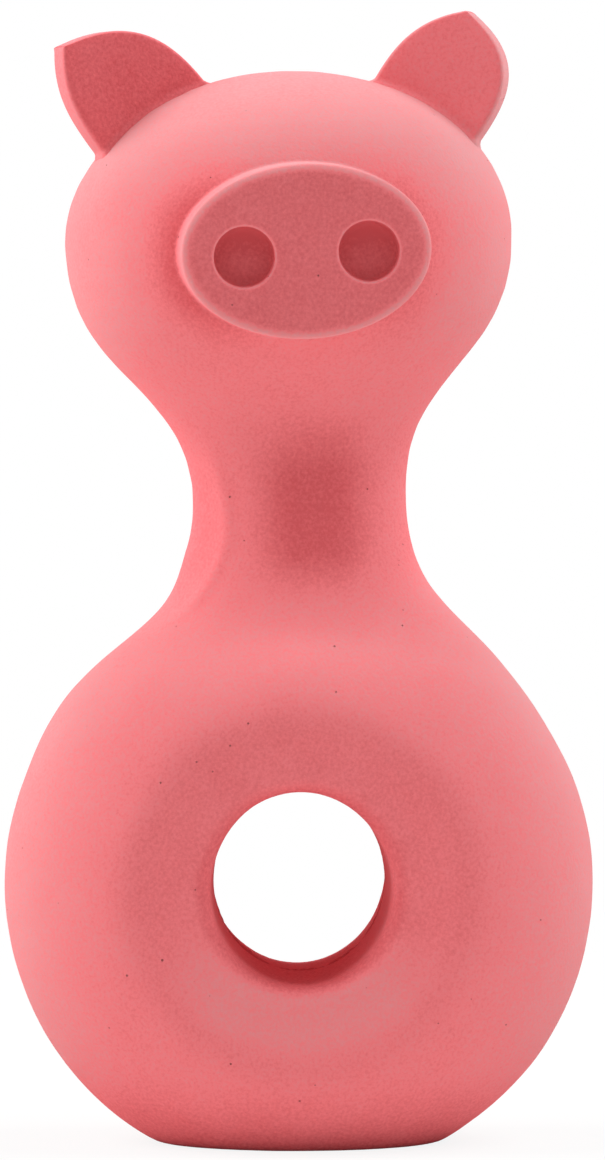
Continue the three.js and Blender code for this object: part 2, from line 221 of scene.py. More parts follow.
class SqueakerSizes(bpy.types.PropertyGroup):
    """Squeaker pressed into the foot."""
    seat: length("Seat radius", "Sunk seat of the flange in the foot", 8.3)
    seat_depth: length("Seat depth", "Depth of the flange's seat", 2.1)
    hole: length("Hole radius", "Hole through the foot", 5.9)
    pocket: length("Pocket radius", "Room for the squeaker in the filling", 8)
    pocket_top: length("Pocket top", "Height of that room above the floor", 17.5)
    flange: length("Flange radius", "Flange under the foot", 8)
    flange_thick: length("Flange thickness", "Flange under the foot", 1.3)
    recess: length("Recess", "Flange above the floor", 0.5)
    neck: length("Neck radius", "Plug in the foot's hole", 5.6)
    barb: length("Barb radius", "Barb behind the foot's wall", 7)
    barb_low: length("Barb height", "Barb's shoulder above the floor", 4.3)
    barb_high: length("Barb top", "Top of the plug above the floor", 6.3)
    socket: length("Socket radius", "Hole for the pipe", 3.6)


class StageSizes(bpy.types.PropertyGroup):
    """Camera and lamps."""
    azimuth: angle("Azimuth", "Camera round the toy", -1.2)
    elevation: angle("Elevation", "Camera above the toy's middle", 3.8)
    distance: length("Distance", "Camera from the toy's middle", 1250)
    aim_side: length("Aim sideways", "Middle of the picture from the toy's middle", 0.5)
    aim_height: length("Aim height", "Middle of the picture above the floor", 78.8)
    view_height: length("View height", "Height that the picture takes in", 162)
    left: number("Left lamp", "Softbox on the left", 5.2, unit="POWER")
    left_height: angle("Left height", "Left softbox above the toy", 40)
    right: number("Right lamp", "Softbox on the right", 5, unit="POWER")
    right_tint: colour("Right tint", "Right softbox, a little cooler", "#f6ffff")
    right_height: angle("Right height", "Right softbox above the toy", 52)
    softbox: length("Softbox", "Width of a softbox", 500)
    lamp_distance: length("Lamp distance", "Softbox from the toy", 800)
    fill: number("Fill", "Even light from all round", 0.35)
    shadow: number("Shadow", "Strength of the shadow on the floor", 0.12)
    shadow_near: length("Shadow near", "Floor keeps all its shadow up to here", 110)
    shadow_far: length("Shadow far", "Floor is plain white from here", 320)


class PigToySettings(bpy.types.PropertyGroup):
    """Everything that a user would change."""
    ring: PointerProperty(type=RingSizes, name="Ring")
    neck: PointerProperty(type=NeckSizes, name="Neck")
    head: PointerProperty(type=HeadSizes, name="Head")
    ears: PointerProperty(type=EarSizes, name="Ears")
    latex: PointerProperty(type=LatexSizes, name="Latex")
    squeaker: PointerProperty(type=SqueakerSizes, name="Squeaker")
    stage: PointerProperty(type=StageSizes, name="Stage")


# Small tools for meshes

def share(value, low, high):
    """Smooth step from 0 at low to 1 at high."""
    part = min(max((value - low) / (high - low), 0), 1)
    return part * part * (3 - 2 * part)


def near(value, middle, full, none):
    """1 up to one distance from a middle, and smoothly down to 0 at a longer one."""
    return 1 - share(abs(value - middle), full, none)


def steps(low, high, count):
    return [low + (high - low) * i / count for i in range(count + 1)]


def settled(height, floor, soft):
    """A height kept above a floor, with a soft corner where it meets it."""
    above = height - floor
    return floor + (above + math.hypot(above, soft)) / 2


def loop(bm, count, place, mark):
    """A closed loop of edges whose corners keep their angle as a mark."""
    corners = bmesh.ops.create_circle(bm, segments=count, radius=1)["verts"]
    for i, corner in enumerate(corners):
        corner[mark] = 2 * math.pi * i / count
        corner.co = place(corner[mark])
    return list(dict.fromkeys(edge for corner in corners for edge in corner.link_edges))


def sweep(bm, edges, places, mark):
    """Extrudes a loop through places in turn; a place gives the point for a corner's angle."""
    for place in places:
        made = bmesh.ops.extrude_edge_only(bm, edges=edges)["geom"]
        corners = {item for item in made if isinstance(item, bmesh.types.BMVert)}
        for corner in corners:
            corner.co = place(corner[mark])
        edges = [
            item for item in made
            if isinstance(item, bmesh.types.BMEdge) and corners.issuperset(item.verts)]
    return edges


def turned(bm, profile, centre, axis, count):
    """Turns a closed profile of points all the way round an axis."""
    corners = [bm.verts.new(point) for point in profile]
    edges = [bm.edges.new(ends) for ends in zip(corners, corners[1:] + corners[:1])]
    bmesh.ops.spin(
        bm, geom=corners + edges, cent=centre, axis=axis, angle=2 * math.pi, steps=count,
        use_merge=True)
    bmesh.ops.remove_doubles(bm, verts=bm.verts[:], dist=1e-6)


def outwards(bm):
    """Turns every face of a closed shape outwards."""
    bmesh.ops.recalc_face_normals(bm, faces=bm.faces[:])


def smooth(bm, corners, factor):
    bmesh.ops.smooth_vert(
        bm, verts=corners, factor=factor, use_axis_x=True, use_axis_y=True, use_axis_z=True)


def piece_from(name, bm, material, crease=50):
    """A new object, shaded smooth except over edges sharper than an angle in degrees."""
    for face in bm.faces:
        face.smooth = True
    for edge in bm.edges:
        edge.smooth = edge.calc_face_angle(0) < math.radians(crease)
    mesh = bpy.data.meshes.new(name)
    bm.to_mesh(mesh)
    bm.free()
    piece = bpy.data.objects.new(name, mesh)
    piece.data.materials.append(material)
    bpy.context.scene.collection.objects.link(piece)
    return piece


def shaped(piece, kind, **settings):
    """Puts one modifier on a piece and makes its result the piece's mesh."""
    modifier = piece.modifiers.new(kind.title(), kind)
    for key, value in settings.items():
        setattr(modifier, key, value)
    before = piece.data
    evaluated = piece.evaluated_get(bpy.context.evaluated_depsgraph_get())
    piece.data = bpy.data.meshes.new_from_object(evaluated)
    piece.modifiers.clear()
    bpy.data.meshes.remove(before)


def cut(piece, profile):
    """Cuts a shape turned about the vertical axis out of a piece."""
    bm = bmesh.new()
    turned(bm, profile, (0, 0, 0), (0, 0, 1), NECK_STEPS)
    outwards(bm)
    cutter = piece_from("cutter", bm, piece.data.materials[0])
    shaped(piece, "BOOLEAN", object=cutter, operation="DIFFERENCE", solver="EXACT")
    bpy.data.objects.remove(cutter)


# Shape of the moulding, worked out as in the frame's own solids

def crest_radius(ring):
    """Front-most circle of the ring, from the middle of the hole."""
    mouth = ring.hole + (ring.depth / 2 - ring.dish - ring.lip) * math.tan(ring.draft)
    return mouth + ring.lip + ring.face


def ring_outside(ring):
    """Outside of the ring from a crest to the edge, as points of half depth and radius."""
    half, crest = ring.depth / 2, crest_radius(ring)
    return geometry.interpolate_bezier(
        Vector((half, crest)), Vector((half, crest + ring.crest_reach)),
        Vector((ring.edge_reach, ring.radius)), Vector((0, ring.radius)), 41)


def ring_profile(ring):
    """Section of the ring, right of its hole: round outside, dished faces, lips and bore."""
    half, crest = ring.depth / 2, crest_radius(ring)
    dished = half - ring.dish
    lip = crest - ring.face
    mouth = lip - ring.lip
    between = (crest + lip) / 2
    outside = [Vector((p.y, p.x, 0)) for p in reversed(ring_outside(ring)[::2])]
    face = geometry.interpolate_bezier(
        Vector((crest, half, 0)), Vector((between, half, 0)),
        Vector((between, dished, 0)), Vector((lip, dished, 0)), 10)
    start, corner = Vector((lip, dished, 0)), Vector((mouth, dished, 0))
    end = Vector((mouth, dished - ring.lip, 0))
    edge = geometry.interpolate_bezier(
        start, start.lerp(corner, 2 / 3), end.lerp(corner, 2 / 3), end, 7)
    back = outside + face[1:] + edge[1:] + [Vector((ring.hole, 0, 0))]
    front = [Vector((p.x, -p.y, 0)) for p in reversed(back[1:-1])]
    return [Vector((p.x, p.y, ring.centre)) for p in back + front]


def side_curve(toy, join, neck_half, head_half):
    """Points of a half size and its height: from the ring to the waist, the widest line and the crown."""
    neck, head = toy.neck, toy.head
    up = Vector((0, 1))
    waist = Vector((neck_half, neck.waist))
    widest = Vector((head_half, neck.waist + head.rise))
    start, carried = join
    curve = geometry.interpolate_bezier(start, carried, waist - up * neck.reach_down, waist, 24)
    curve += geometry.interpolate_bezier(
        waist, waist + up * neck.reach_up, widest - up * head.cheek, widest, 24)[1:]
    curve += [
        Vector((head_half * math.cos(a), widest.y + head.crown * math.sin(a)))
        for a in steps(0, math.radians(88), 24)[1:]]
    return curve


def at_height(curve, height):
    """Half size of a side curve at a height, between its points."""
    for low, high in zip(curve, curve[1:]):
        if height <= high.y:
            return low.x + (high.x - low.x) * (height - low.y) / (high.y - low.y)
    return curve[-1].x


def torso_sections(toy):
    """Half width, half depth and height of the neck and head, from the shoulder to the crown."""
    ring, neck, head = toy.ring, toy.neck, toy.head
    reach = neck.reach * math.sin(neck.shoulder)
    side = Vector((
        ring.radius * math.sin(neck.shoulder), ring.centre + ring.radius * math.cos(neck.shoulder)))
    side_join = (side, side + Vector((-reach / math.tan(neck.shoulder), reach)))
    outside = [point + Vector((0, ring.centre)) for point in ring_outside(ring)]
    leaves = round(neck.front_start * (len(outside) - 1))
    front = outside[leaves]
    along = outside[leaves + 1] - outside[leaves - 1]
    front_join = (front, front + along * neck.front_reach / along.y)
    widths = side_curve(toy, side_join, neck.width / 2, head.width / 2)
    depths = side_curve(toy, front_join, neck.depth / 2, head.depth / 2)
    sections = []
    for width, height in widths[::2]:
        depth = at_height(outside if height < front.y else depths, height)
        sections.append(Vector((width, depth, height)))
    return sections


def set_of_neck(toy, part):
    """Turn of the head about the waist, or the part of it that a height carries."""
    neck = toy.neck
    about = Matrix.Translation((0, 0, neck.waist))
    return about @ Matrix.Rotation(-neck.lean * part, 4, "Y") @ Matrix.Rotation(neck.turn * part, 4, "Z")


def snout_stand(toy):
    """Frame at the middle of the snout's face: x to the right, y into the head, z up."""
    head = toy.head
    middle = Matrix.Translation((
        head.aside, head.set_back - head.depth / 2 - head.snout_proud, head.rise - head.snout_fall))
    return set_of_neck(toy, 1) @ middle


def section_place(toy, section):
    """Gives the point of one section of the neck and head at an angle round it."""
    neck, head = toy.neck, toy.head
    foot = toy.ring.centre + toy.ring.radius * math.cos(neck.shoulder)
    part = share(section.z, foot, neck.waist + head.rise)
    carried = set_of_neck(toy, share(section.z, neck.bottom, neck.top))
    carried @= Matrix.Translation((head.aside * part, head.set_back * part, section.z - neck.waist))
    return lambda a: carried @ Vector((section.x * math.cos(a), section.y * math.sin(a), 0))


def moulding(toy, name, material, voxel):
    """Ring, neck and head flowing into each other as one closed surface, still without its foot."""
    ring = toy.ring
    bm = bmesh.new()
    mark = bm.verts.layers.float.new("angle")
    centre = Vector((0, 0, ring.centre))
    turned(bm, ring_profile(ring), centre, (0, 1, 0), ROUND_STEPS)
    for corner in bm.verts:
        above = corner.co.z - ring.centre
        inwards = (ring.radius - math.hypot(corner.co.x, above)) / (ring.radius - ring.hole)
        corner.co.z += (ring.rise + ring.tall * above) * inwards
    places = [section_place(toy, section) for section in torso_sections(toy)]
    first = loop(bm, NECK_STEPS, places[0], mark)
    bmesh.ops.edgeloop_fill(bm, edges=first)
    bmesh.ops.edgeloop_fill(bm, edges=sweep(bm, first, places[1:], mark))
    outwards(bm)
    bm.verts.layers.float.remove(mark)
    piece = piece_from(name, bm, material)
    shaped(piece, "REMESH", mode="VOXEL", voxel_size=voxel, use_smooth_shade=True)
    return piece


def ridge_at(toy, point):
    """Share of the mould's ridge at a point: a bow down the left of the neck's front, hollow outside it."""
    above = point.z - (toy.neck.waist - 4.5 * MM)
    bow = (0.018 if above > 0 else 0.055) / MM
    inwards = point.x + 10.2 * MM + bow * above * above
    height = near(above, 0, 8 * MM, 14 * MM) * share(-point.y, 0, 4 * MM)
    crown = math.exp(-(inwards / (0.9 * MM)) ** 2)
    hollow = math.exp(-((inwards + 2.6 * MM) / (1.6 * MM)) ** 2)
    return height * (crown - 0.8 * hollow)


def softened(toy, piece, passes, uneven):
    """Smooths a moulding, most where the neck joins the ring, and makes it uneven as by hand."""
    bm = bmesh.new()
    bm.from_mesh(piece.data)
    # Each pass shrinks the shape and then grows it back
    for factor in (0.5, -0.52) * passes:
        smooth(bm, bm.verts[:], factor)
    top = toy.ring.centre + toy.ring.radius
    crease = {}
    for corner in bm.verts:
        part = near(corner.co.z, top - 6 * MM, 5 * MM, 14 * MM) * near(corner.co.x, 0, 14 * MM, 26 * MM)
        if part > 0:
            crease[corner] = corner.co.copy(), part
    for _ in range(2 * passes):
        smooth(bm, list(crease), 0.5)
    for corner, (before, part) in crease.items():
        corner.co = before.lerp(corner.co, part)
    bm.normal_update()
    for corner in bm.verts:
        wave = noise.noise(corner.co / (17 * MM)) + 0.5 * noise.noise(corner.co / (6 * MM))
        corner.co += corner.normal * (wave * uneven + toy.neck.ridge * ridge_at(toy, corner.co))
        sunk = near(corner.co.z, top - 14 * MM, 0, 13 * MM)
        drawn = near(corner.co.z, top - 3 * MM, 0, 9 * MM)
        pushed = near(corner.co.z, top - 9 * MM, 0, 11 * MM)
        left, right = (share(side * corner.co.x, 6 * MM, 20 * MM) for side in SIDES.values())
        corner.co.x += toy.neck.slump * ((1.2 * drawn - sunk) * left + 0.8 * pushed * right)
    bm.to_mesh(piece.data)
    bm.free()


def skin_tree(context):
    """The finished skin, for finding where a ray or a point meets it."""
    return BVHTree.FromObject(bpy.data.objects["latex_skin"], context.evaluated_depsgraph_get())


# Materials

def add(tree, kind, settings=None, sockets=None):
    """Adds a node, sets its properties, and sets or links its input sockets."""
    made = tree.nodes.new("ShaderNode" + kind)
    for key, value in (settings or {}).items():
        setattr(made, key, value)
    for key, value in (sockets or {}).items():
        if isinstance(value, bpy.types.NodeSocket):
            tree.links.new(value, made.inputs[key])
        else:
            made.inputs[key].default_value = value
    return made


def new_material(name):
    """A material, its node tree and, alone in that tree, the Object coordinates."""
    made = bpy.data.materials.new(name)
    made.use_nodes = True
    made.node_tree.nodes.clear()
    return made, made.node_tree, add(made.node_tree, "TexCoord").outputs["Object"]


def dyed_latex(latex):
    """Slush-moulded natural latex, dyed and powdered: matt, chalky and cloudy, with pits that hold dirt, and
    paler or darker by the painted light and shade that each piece carries.
    """
    if "dyed_latex" in bpy.data.materials:
        return bpy.data.materials["dyed_latex"]
    made, tree, place = new_material("dyed_latex")
    # Painted light and shade, with a little real dust, read from each piece
    bloom_and_light = add(tree, "Attribute", {"attribute_name": "bloom_and_light"}).outputs["Fac"]
    clouds = add(tree, "TexNoise", sockets={
        "Vector": place, "Scale": 1 / (9 * MM), "Detail": 5, "Roughness": 0.65}).outputs[0]
    # Powder is far finer than this dust, which is drawn coarse enough to show
    dust = add(tree, "TexNoise", sockets={
        "Vector": place, "Scale": 1 / (0.45 * MM), "Detail": 2, "Roughness": 0.6}).outputs[0]
    pits = add(tree, "TexVoronoi", sockets={"Vector": place, "Scale": 1 / (2.4 * MM)})
    chosen = add(tree, "SeparateColor", sockets={0: pits.outputs["Color"]})
    size = add(tree, "MapRange", sockets={
        "Value": chosen.outputs[0], "From Min": 0.5, "From Max": 1, "To Min": 0, "To Max": 0.085})
    inside = add(tree, "Math", {"operation": "SUBTRACT"}, {0: size.outputs[0], 1: pits.outputs["Distance"]})
    pit = add(tree, "MapRange", {"interpolation_type": "SMOOTHSTEP"}, {
        "Value": inside.outputs[0], "From Min": -0.01, "From Max": 0.05}).outputs[0]
    for part, weight in ((clouds, 0.25), (dust, 0.65)):
        bloom_and_light = add(tree, "Math", {"operation": "MULTIPLY_ADD"}, {
            0: part, 1: weight, 2: bloom_and_light}).outputs[0]
    # Painted shade turns the colour towards the clean latex, painted light and chalky dust towards the
    # chalky latex
    chalk_and_light = add(tree, "MapRange", sockets={"Value": bloom_and_light, "From Min": 0.45, "From Max": 1.45}).outputs[0]
    tint = add(tree, "ValToRGB", sockets={0: chalk_and_light})
    tint.color_ramp.elements[0].color = latex.clean_and_shaded
    tint.color_ramp.elements[1].color = latex.chalky_and_lit
    tint.color_ramp.elements.new(0.5).color = latex.skin
    dirty = add(tree, "Mix", {"data_type": "RGBA"}, {0: pit, 6: tint.outputs[0], 7: latex.speck}).outputs[2]
    rough = add(tree, "MapRange", sockets={"Value": chalk_and_light, "To Min": 0.5, "To Max": 0.7}).outputs[0]
    relief = add(tree, "Math", {"operation": "MULTIPLY_ADD"}, {0: pit, 1: -3, 2: dust}).outputs[0]
    bump = add(tree, "Bump", sockets={"Strength": 1, "Distance": 0.06 * MM, "Height": relief}).outputs[0]
    surface = add(tree, "BsdfPrincipled", sockets={
        "Base Color": dirty, "Roughness": rough, "IOR": 1.52, "Specular IOR Level": 0, "Normal": bump,
        "Subsurface Weight": 0.15, "Subsurface Radius": (1, 0.35, 0.3), "Subsurface Scale": 1.5 * MM})
    add(tree, "OutputMaterial", sockets={"Surface": surface.outputs[0]})
    return made


def polyester_wadding(latex):
    """Carded polyester fibre: white, matt and tangled, with grey gaps between the tufts."""
    made, tree, place = new_material("polyester_wadding")
    tufts = add(tree, "TexNoise", sockets={
        "Vector": place, "Scale": 1 / (5 * MM), "Detail": 6, "Roughness": 0.7, "Distortion": 2})
    # Fibres are far finer too
    fibres = add(tree, "TexNoise", sockets={
        "Vector": place, "Scale": 1 / (0.8 * MM), "Detail": 3, "Distortion": 4})
    tint = add(tree, "Mix", {"data_type": "RGBA", "blend_type": "MULTIPLY"}, {
        0: 0.3, 6: latex.fibre, 7: tufts.outputs["Color"]}).outputs[2]
    bump = add(tree, "Bump", sockets={"Distance": 0.4 * MM, "Height": fibres.outputs[0]})
    surface = add(tree, "BsdfPrincipled", sockets={
        "Base Color": tint, "Roughness": 0.95, "Sheen Weight": 0.4, "Normal": bump.outputs[0]})
    add(tree, "OutputMaterial", sockets={"Surface": surface.outputs[0]})
    return made


def moulded_plastic(name, tint, roughness):
    """Moulded plastic: an even satin with a faint grain from the mould and slight flow clouds."""
    made, tree, place = new_material(name)
    flow = add(tree, "TexNoise", sockets={"Vector": place, "Scale": 1 / (4 * MM), "Detail": 2})
    grain = add(tree, "TexNoise", sockets={"Vector": place, "Scale": 1 / (0.25 * MM), "Detail": 2})
    clouded = add(tree, "Mix", {"data_type": "RGBA", "blend_type": "MULTIPLY"}, {
        0: 0.12, 6: tint, 7: flow.outputs["Color"]}).outputs[2]
    sheen = add(tree, "MapRange", sockets={
        "Value": flow.outputs[0], "To Min": roughness - 0.06, "To Max": roughness + 0.06})
    bump = add(tree, "Bump", sockets={"Distance": 0.02 * MM, "Height": grain.outputs[0]})
    surface = add(tree, "BsdfPrincipled", sockets={
        "Base Color": clouded, "Roughness": sheen.outputs[0], "IOR": 1.5, "Normal": bump.outputs[0]})
    add(tree, "OutputMaterial", sockets={"Surface": surface.outputs[0]})
    return made


def light_and_powder(toy):
    """Gives how pale the latex is at a corner: painted light where it faces up and where it faces sideways,
    painted shade in hollows, round the hole, under the foot and beside the snout, and a little real chalky
    dust on top.
    """
    ring, waist = toy.ring, toy.neck.waist
    to_snout = snout_stand(toy).inverted()
    wide, tall = toy.head.snout_width / 2, toy.head.snout_height / 2
    crest = crest_radius(ring)

    def light_and_powder_at(corner):
        x, y, z = corner.co
        # Painted top light, with some real dust: paler where the surface faces up
        dust_and_top_light = share(corner.normal.z, 0.1, 0.9) * (0.6 + 0.4 * share(z, waist, waist + 20 * MM))
        # Painted side light: paler where the surface faces left or right, away from the waist
        sideways = share(abs(corner.normal.x), 0.3, 1) * share(abs(z - waist), 8 * MM, 25 * MM)
        # Painted shade: darker on the neck's front under the chin
        above = z - (waist - 2 * MM)
        neck = near(above, 0, 4 * MM, 16 * MM if above > 0 else 13 * MM)
        neck *= near(x, 2 * MM, 2 * MM, 10.5 * MM)
        # Painted shade: darker round the hole's lip, a little less so deep in the bore
        from_hole = math.hypot(x, z - ring.centre - ring.rise)
        lip = near(from_hole, 0, ring.hole + MM, ring.hole + 3.4 * MM)
        bore = lip * near(y, 0, ring.depth / 2 - 5 * MM, ring.depth / 2 - 2.5 * MM)
        # Painted light and shade on the dished face: lighter on its lower half, which faces up, darker on
        # its upper half
        dish = near(from_hole, 0, crest - 2 * MM, crest + 2 * MM) * (1 - lip)
        below = share((ring.centre + ring.rise - z) / max(from_hole, MM), 0.2, 0.9)
        below *= near(from_hole, 0, crest - 4 * MM, crest + 2 * MM)
        # Painted shade: darker where the rounding above the foot faces down
        under = share(-corner.normal.z, 0.3, 0.9) * (1 - share(z, 6 * MM, 14 * MM))
        # Painted shade: darker on the cheek left of the snout, less so on the right
        local = to_snout @ corner.co
        reach = max(math.hypot(local.x / wide, local.z / tall), 0.1)
        beyond = math.hypot(local.x, local.z) * (1 - 1 / reach)
        cheek = share(abs(local.x) / (wide * reach), 0.3, 0.9) * (1 - share(beyond, 0, 6 * MM))
        cheek *= 1 if local.x < 0 else 0.45
        front = 1 - share(local.y, 12 * MM, 16 * MM)
        # Paleness from painted light, painted shade and a little real dust
        lit = 0.5 + 0.4 * dust_and_top_light * (1 - lip) + 0.3 * sideways * (1 - dish) + (0.27 * below - 0.1) * dish
        return lit - 0.45 * (lip + neck + cheek * front) + 0.2 * bore - 0.3 * under
    return light_and_powder_at


class PIGTOY_OT_skin(bpy.types.Operator):
    """Make the latex skin of the ring, neck and head"""
    bl_idname = "pigtoy.skin"
    bl_label = "Skin"

    def execute(self, context):
        toy = context.scene.pig_toy
        latex, seat = toy.latex, toy.squeaker
        skin = moulding(toy, "latex_skin", dyed_latex(latex), SKIN_VOXEL)
        softened(toy, skin, SKIN_PASSES, latex.uneven)
        outer = len(skin.data.vertices)
        for corner in skin.data.vertices:
            corner.co.z = settled(corner.co.z, 0, latex.foot_edge)
        lowest = min(corner.co.z for corner in skin.data.vertices)
        for corner in skin.data.vertices:
            corner.co.z -= lowest
        shaped(skin, "SOLIDIFY", thickness=latex.wall, offset=-1)
        for corner in skin.data.vertices[outer:]:
            corner.co.z = settled(corner.co.z, latex.foot, latex.foot_edge / 2)
        cut(skin, [
            (0, 0, -MM), (seat.seat, 0, -MM), (seat.seat, 0, seat.seat_depth),
            (seat.hole, 0, seat.seat_depth), (seat.hole, 0, 3 * latex.foot), (0, 0, 3 * latex.foot)])
        skin.data.shade_smooth()
        # Painted light and shade, with a little real dust, kept on the skin's corners
        light_and_powder_at = light_and_powder(toy)
        bloom_and_light = skin.data.attributes.new("bloom_and_light", "FLOAT", "POINT")
        bloom_and_light.data.foreach_set("value", [light_and_powder_at(corner) for corner in skin.data.vertices])
        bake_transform(skin, "ring", "head", start=(0, 0, toy.neck.bottom), end=(0, 0, toy.neck.top))
        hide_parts("ring_body", "neck_sleeve", "head_shell")
        return {"FINISHED"}


class PIGTOY_OT_flash(bpy.types.Operator):
    """Make the rough parting line in the bore"""
    bl_idname = "pigtoy.flash"
    bl_label = "Parting line"

    def execute(self, context):
        toy = context.scene.pig_toy
        ring = toy.ring
        centre = Vector((0, 0, ring.centre + ring.rise))
        root = ring.hole + 0.3 * MM
        profile = [(root, -0.45), (root, 0.45), (ring.hole + 0.05 * MM, 0.3), (ring.hole + 0.05 * MM, -0.3)]
        bm = bmesh.new()
        turned(bm, [Vector((r, y * MM, centre.z)) for r, y in profile], centre, (0, 1, 0), FLASH_STEPS)
        for corner in bm.verts:
            out = corner.co - centre
            if math.hypot(out.x, out.z) < root - 0.1 * MM:
                low = 0.2 + 0.8 * share(-out.z / ring.hole, 0.2, 0.9)
                torn = 0.6 + noise.noise(out / (5 * MM)) + 0.5 * noise.noise(out / (0.8 * MM))
                corner.co -= out.normalized() * ring.flash * low * max(torn, 0)
                corner.co.y += 0.3 * MM * noise.noise(out / (2 * MM))
            corner.co.z += ring.tall * out.z
        outwards(bm)
        flash = piece_from("bore_flash", bm, dyed_latex(toy.latex))
        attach(flash, "ring")
        return {"FINISHED"}


class PIGTOY_OT_snout(bpy.types.Operator):
    """Make the oval snout with its two nostrils"""
    bl_idname = "pigtoy.snout"
    bl_label = "Snout"

    def execute(self, context):
        toy = context.scene.pig_toy
        head = toy.head
        skin = skin_tree(context)
        stand = snout_stand(toy)
        back = (stand.to_3x3() @ Vector((0, 1, 0))).normalized()
        inverse = stand.inverted()
        half = Vector((head.snout_width / 2, 0, head.snout_height / 2))

        def oval(a, out, behind):
            """Point beside the edge of the snout's face, outwards from it and behind the face."""
            edge = Vector((half.x * math.cos(a), behind, half.z * math.sin(a)))
            return edge + out * Vector((math.cos(a) / half.x, 0, math.sin(a) / half.z)).normalized()

        def on_head(point):
            """Point of the skin straight behind a point."""
            start = stand @ Vector((point.x, -5 * MM, point.z))
            hit = skin.ray_cast(start, back)[0]
            if hit is None:
                raise RuntimeError("the snout reaches past the head")
            return inverse @ hit

        rim, crown, slope = head.snout_rim, head.snout_crown, math.tan(head.snout_draft)
        wall = head.snout_proud * slope
        turns = steps(0, math.pi / 2 - head.snout_draft, 6)

        def at(out, behind):
            return lambda a: stand @ oval(a, out, behind)

        def skirt(part):
            """Place on the rounding from the snout's wall to the head."""
            def place(a):
                corner = on_head(oval(a, wall, 0))
                end = on_head(oval(a, wall + head.snout_fillet, 0))
                start = oval(a, wall, corner.y - head.snout_fillet)
                return stand @ start.lerp(corner, part).lerp(corner.lerp(end, part), part)
            return place

        def behind(part):
            """Place inside the skin, behind a part of the oval."""
            def place(a):
                out = oval(a, wall + head.snout_fillet, 0)
                return stand @ (on_head(Vector((out.x * part, 0, out.z * part))) + Vector((0, 0.8 * MM, 0)))
            return place

        bm = bmesh.new()
        mark = bm.verts.layers.float.new("angle")
        bloom_and_light = bm.verts.layers.float.new("bloom_and_light")
        edge = loop(bm, ROUND_STEPS, at(-rim - 0.6 * MM, 0), mark)
        mouths = []
        for side in SIDES.values():
            middle = Vector((side * head.nostril_spacing / 2, 0, -head.nostril_drop))

            def ring_at(radius, depth, middle=middle):
                return lambda a: stand @ (
                    middle + Vector((radius * math.cos(a), depth, radius * math.sin(a))))

            round_off = head.nostril_edge
            mouth = head.nostril + round_off
            floor, foot = head.nostril_depth, head.nostril - 0.15 * MM
            inside = [ring_at(mouth, 0)]
            inside += [
                ring_at(mouth - round_off * math.sin(t), round_off * (1 - math.cos(t)))
                for t in steps(0, math.pi / 2, 5)[1:]]
            inside += [
                ring_at(foot - MM * (1 - math.cos(t)), floor - MM + MM * math.sin(t))
                for t in steps(0, math.pi / 2, 5)]
            inside += [ring_at(head.nostril / 3, floor)]
            mouths.append((loop(bm, NOSTRIL_STEPS, ring_at(mouth + 0.4 * MM, 0), mark), inside))
        bmesh.ops.triangle_fill(
            bm, edges=edge + mouths[0][0] + mouths[1][0], use_beauty=True, use_dissolve=False)
        for edges, inside in mouths:
            bmesh.ops.edgeloop_fill(bm, edges=sweep(bm, edges, inside, mark))
        outside = [at(rim * (math.sin(t) - 1), crown * (1 - math.cos(t))) for t in turns]
        outside += [skirt(part) for part in steps(0, 1, 7)]
        outside += [behind(part) for part in (1.02, 0.7, 0.4, 0.1)]
        bmesh.ops.edgeloop_fill(bm, edges=sweep(bm, edge, outside, mark))
        outwards(bm)
        bm.normal_update()
        light_and_powder_at = light_and_powder(toy)
        for corner in bm.verts:
            local = inverse @ corner.co
            # Painted highlight, with some real wear, on the rounded rim of the face
            edged = 0.3 + 0.5 * share(local.y, 0, 0.3 * crown)
            if math.hypot(local.x / half.x, local.z / half.z) < 0.85:
                # Painted shadow: each nostril darker towards its top, under its upper edge
                inside = 0.15 - 0.4 * (local.z + head.nostril_drop) / head.nostril
                corner[bloom_and_light] = edged + (inside - edged) * share(local.y, 0.2 * MM, 0.5 * MM)
            else:
                # Painted shade down the snout's wall and in the groove at its foot, then the skin's painted
                # light and shade
                edged -= 0.6 * share(local.y, crown, 2 * crown)
                corner[bloom_and_light] = edged + (light_and_powder_at(corner) - edged) * share(local.y, 3 * MM, 5 * MM)
        bm.verts.layers.float.remove(mark)
        snout = piece_from("snout", bm, dyed_latex(toy.latex))
        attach(snout, "head")
        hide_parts("snout_boss")
        return {"FINISHED"}


